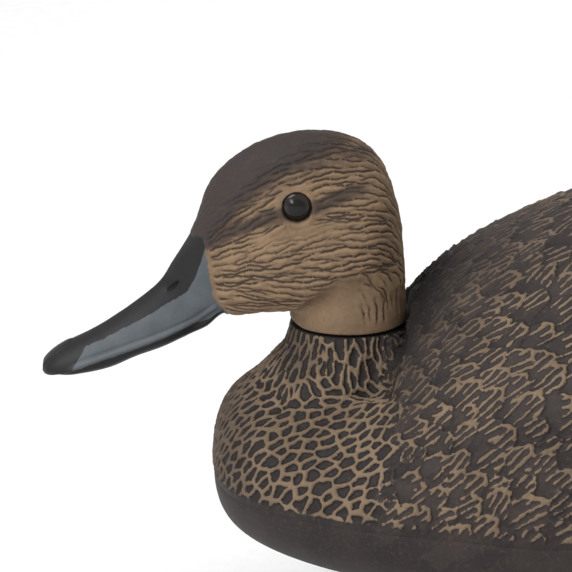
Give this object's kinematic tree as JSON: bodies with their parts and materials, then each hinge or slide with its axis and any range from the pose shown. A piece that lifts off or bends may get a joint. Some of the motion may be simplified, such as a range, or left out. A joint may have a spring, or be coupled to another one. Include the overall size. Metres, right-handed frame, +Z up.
{
  "type": "duck decoy",
  "caption": "Floating duck decoy of a resting hen: hollow two-shell body, ballasted keel, and a head that turns on a sprung bolt in the neck.",
  "frame": {"origin": "middle of the keel's flat underside", "axes": "+Z up; +Y towards the tail, so the bill points along -Y; +X is the duck's left side"},
  "size_m": [0.1682, 0.4263, 0.1836],
  "materials": {
    "body_plastic": "matte",
    "hull_plastic": "matte",
    "head_plastic": "matte",
    "eye_gloss": "gloss",
    "keel_plastic": "satin",
    "plug_plastic": "satin",
    "bush_nylon": "satin",
    "washer_rubber": "matte",
    "gasket_rubber": "matte",
    "cap_rubber": "matte",
    "screw_steel": "satin",
    "bolt_steel": "satin",
    "spring_steel": "satin",
    "ballast_steel": "matte"
  },
  "bodies": {
    "body": {"upper_body": "body_plastic", "hull": "hull_plastic", "neck_bush": "bush_nylon", "bush_seal": "washer_rubber", "friction_washer": "washer_rubber", "keel": "keel_plastic", "keel_gasket": "gasket_rubber", "keel_screws": "screw_steel", "ballast_bar": "ballast_steel"},
    "head": {"head": "head_plastic", "left_eye": "eye_gloss", "right_eye": "eye_gloss", "neck_plug": "plug_plastic", "swivel_bolt": "bolt_steel", "flat_washer": "bolt_steel", "swivel_spring": "spring_steel", "spring_seat": "bolt_steel", "lock_nut": "bolt_steel"},
    "keel_cap": {"keel_cap": "cap_rubber"},
    "drain_plug": {"drain_plug": "cap_rubber"}
  },
  "joints": [
    {"name": "head_swivel", "type": "hinge", "parent": "body", "child": "head", "pos_m": [0, -0.14, 0.118], "axis": [0, 0, 1], "range_deg": [-90, 90]},
    {"name": "keel_cap_pull", "type": "slide", "parent": "body", "child": "keel_cap", "axis": [0, 1, 0], "range_m": [0, 0.025]},
    {"name": "drain_plug_pull", "type": "slide", "parent": "body", "child": "drain_plug", "axis": [0, 0, -1], "range_m": [0, 0.014]}
  ]
}
